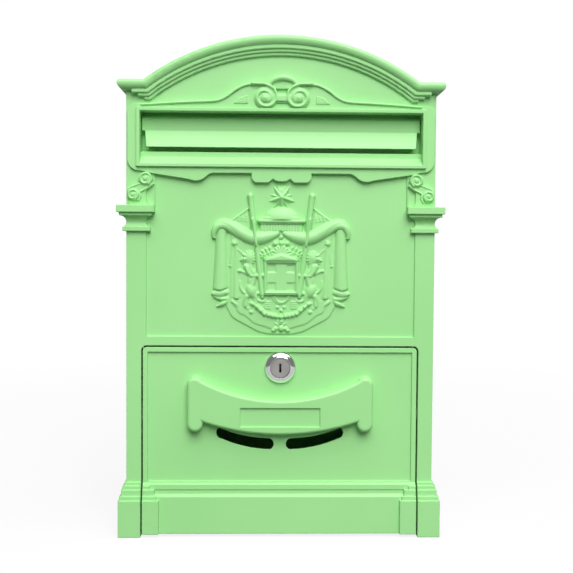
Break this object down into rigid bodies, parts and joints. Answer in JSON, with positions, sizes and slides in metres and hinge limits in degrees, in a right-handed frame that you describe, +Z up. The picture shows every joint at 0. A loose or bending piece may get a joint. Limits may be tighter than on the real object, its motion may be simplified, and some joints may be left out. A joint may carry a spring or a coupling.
{
  "type": "wall mounted post box",
  "caption": "Upright box for posted letters with an arched cornice, a lifting slot flap and a bottom hinged locking door, screwed to a wall through its back plate.",
  "frame": {"origin": "middle of the box's footprint, on the underside of the plinth", "axes": "+X to the right as one faces the box, -Y out of its front, +Z up; the wall is at the back, at y = 0.045 m"},
  "size_m": [0.2676, 0.09, 0.4107],
  "materials": {
    "green_paint": "satin",
    "chrome": "polished",
    "plug_zinc": "satin",
    "steel": "satin",
    "zinc_plate": "satin",
    "brass": "satin"
  },
  "bodies": {
    "casing": {"front_casting": "green_paint", "back_plate": "green_paint", "back_plate_screws": "steel", "door_hinge_pin_left": "steel", "door_hinge_pin_right": "steel", "flap_hinge_rod": "steel", "flap_rod_clips": "steel"},
    "door_leaf": {"door": "green_paint", "lock_body": "chrome", "lock_nut": "zinc_plate", "lock_washer": "steel"},
    "lock_core": {"lock_plug": "plug_zinc", "lock_wafers": "brass", "lock_stop_washer": "steel", "lock_cam": "zinc_plate", "cam_washer": "steel", "cam_screw": "steel"},
    "flap": {"slot_flap": "green_paint"}
  },
  "joints": [
    {"name": "door_hinge", "type": "hinge", "parent": "casing", "child": "door_leaf", "pos_m": [0, -0.039, 0.0075], "axis": [1, 0, 0], "range_deg": [0, 90]},
    {"name": "lock_turn", "type": "hinge", "parent": "door_leaf", "child": "lock_core", "pos_m": [0, -0.0355, 0.1398], "axis": [0, 1, 0], "range_deg": [0, 90]},
    {"name": "flap_hinge", "type": "hinge", "parent": "casing", "child": "flap", "pos_m": [0, -0.027, 0.3436], "axis": [-1, 0, 0], "range_deg": [0, 75]}
  ]
}
